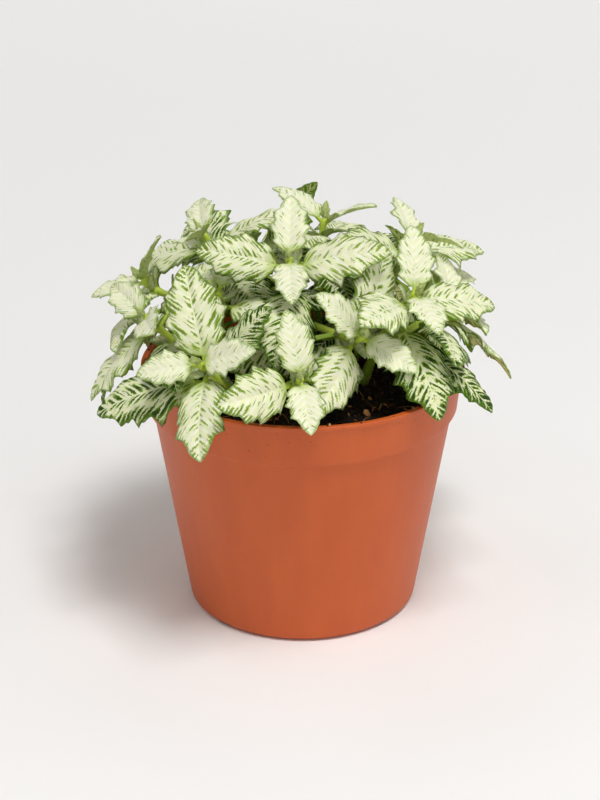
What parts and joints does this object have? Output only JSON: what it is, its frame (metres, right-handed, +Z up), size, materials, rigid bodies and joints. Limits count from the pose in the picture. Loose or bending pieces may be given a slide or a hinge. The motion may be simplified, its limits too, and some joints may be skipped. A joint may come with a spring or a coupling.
{
  "type": "potted nerve plant",
  "caption": "Bushy nerve plant with white-veined, toothed leaves on forked stems, growing in soil in a tapered plastic nursery pot.",
  "frame": {"origin": "middle of the pot's underside, in the plane it rests on", "axes": "+Z up along the pot's axis, -Y towards the plant's best side, +X to the right of it as seen from there"},
  "size_m": [0.1582, 0.1602, 0.1606],
  "materials": {
    "pot_plastic": "satin terracotta-coloured polypropylene",
    "soil": "moist peat with bark crumbs",
    "foliage": "soft living leaves, cream-white veins on green"
  },
  "bodies": {
    "root": {"pot": "pot_plastic", "soil": "soil", "leafy_stem_1": "foliage", "leafy_stem_2": "foliage", "leafy_stem_3": "foliage", "leafy_stem_4": "foliage", "leafy_stem_5": "foliage", "leafy_stem_6": "foliage", "leafy_stem_7": "foliage"}
  },
  "joints": []
}
